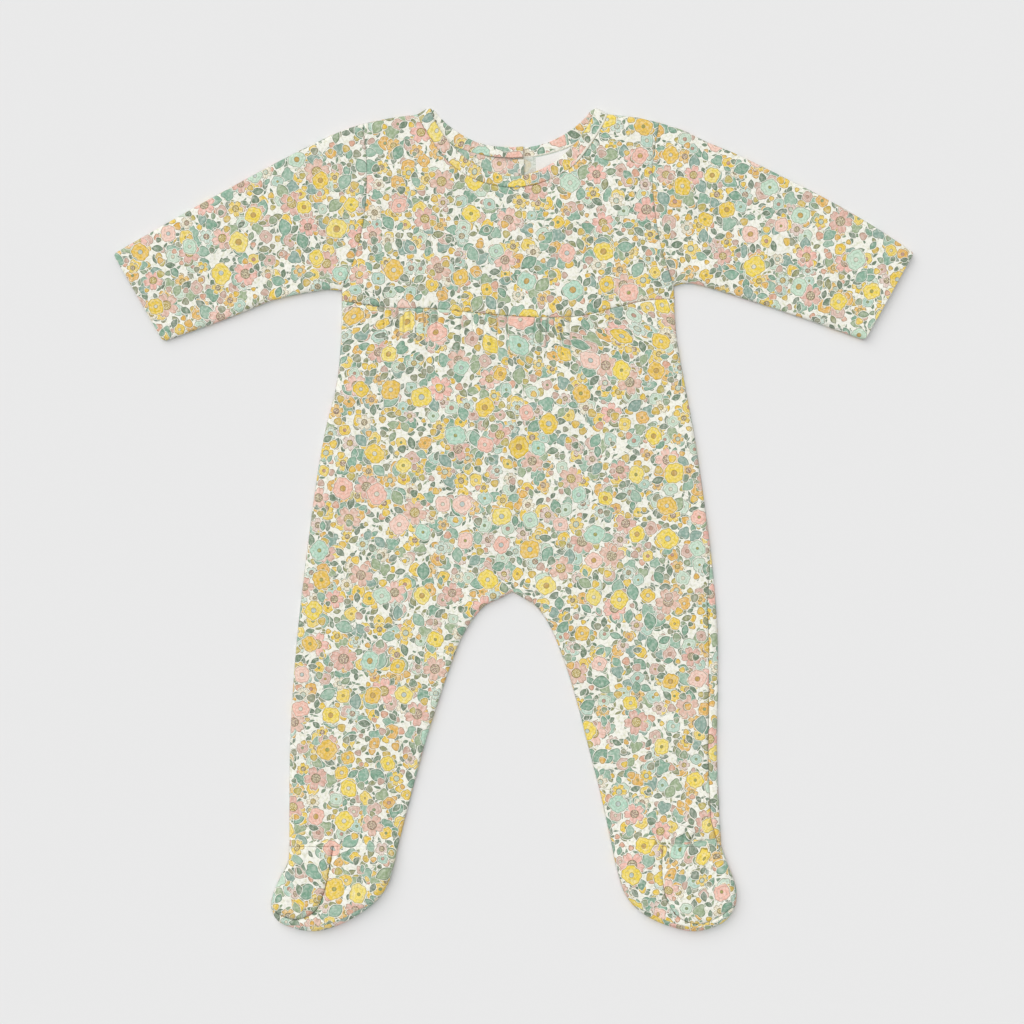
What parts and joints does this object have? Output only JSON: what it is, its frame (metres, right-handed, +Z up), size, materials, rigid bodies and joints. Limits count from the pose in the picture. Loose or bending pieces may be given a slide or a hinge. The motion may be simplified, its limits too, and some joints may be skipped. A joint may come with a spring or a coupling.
{
  "type": "baby sleepsuit",
  "caption": "Footed, long-sleeved baby sleepsuit of printed cotton jersey, laid flat on its back, with a gathered yoke, a back opening, a bound neck and shaped feet.",
  "frame": {"origin": "centre of the laid suit's bounding box in plan, on the surface that it lies on", "axes": "+Z up from the surface, out of the suit's front; +Y from the feet towards the neck; +X towards the viewer's right, which is the wearer's left"},
  "size_m": [0.533, 0.548, 0.008],
  "materials": {
    "print_jersey": "matte",
    "label_tape": "matte",
    "stud_metal": "satin"
  },
  "bodies": {
    "root": {"front_yoke": "print_jersey", "front_body": "print_jersey", "back_left": "print_jersey", "back_right": "print_jersey", "back_placket": "print_jersey", "sleeve_left": "print_jersey", "sleeve_right": "print_jersey", "neckband": "print_jersey", "foot_side_left": "print_jersey", "foot_top_left": "print_jersey", "sole_left": "print_jersey", "foot_side_right": "print_jersey", "foot_top_right": "print_jersey", "sole_right": "print_jersey", "label": "label_tape", "press_stud": "stud_metal"}
  },
  "joints": []
}
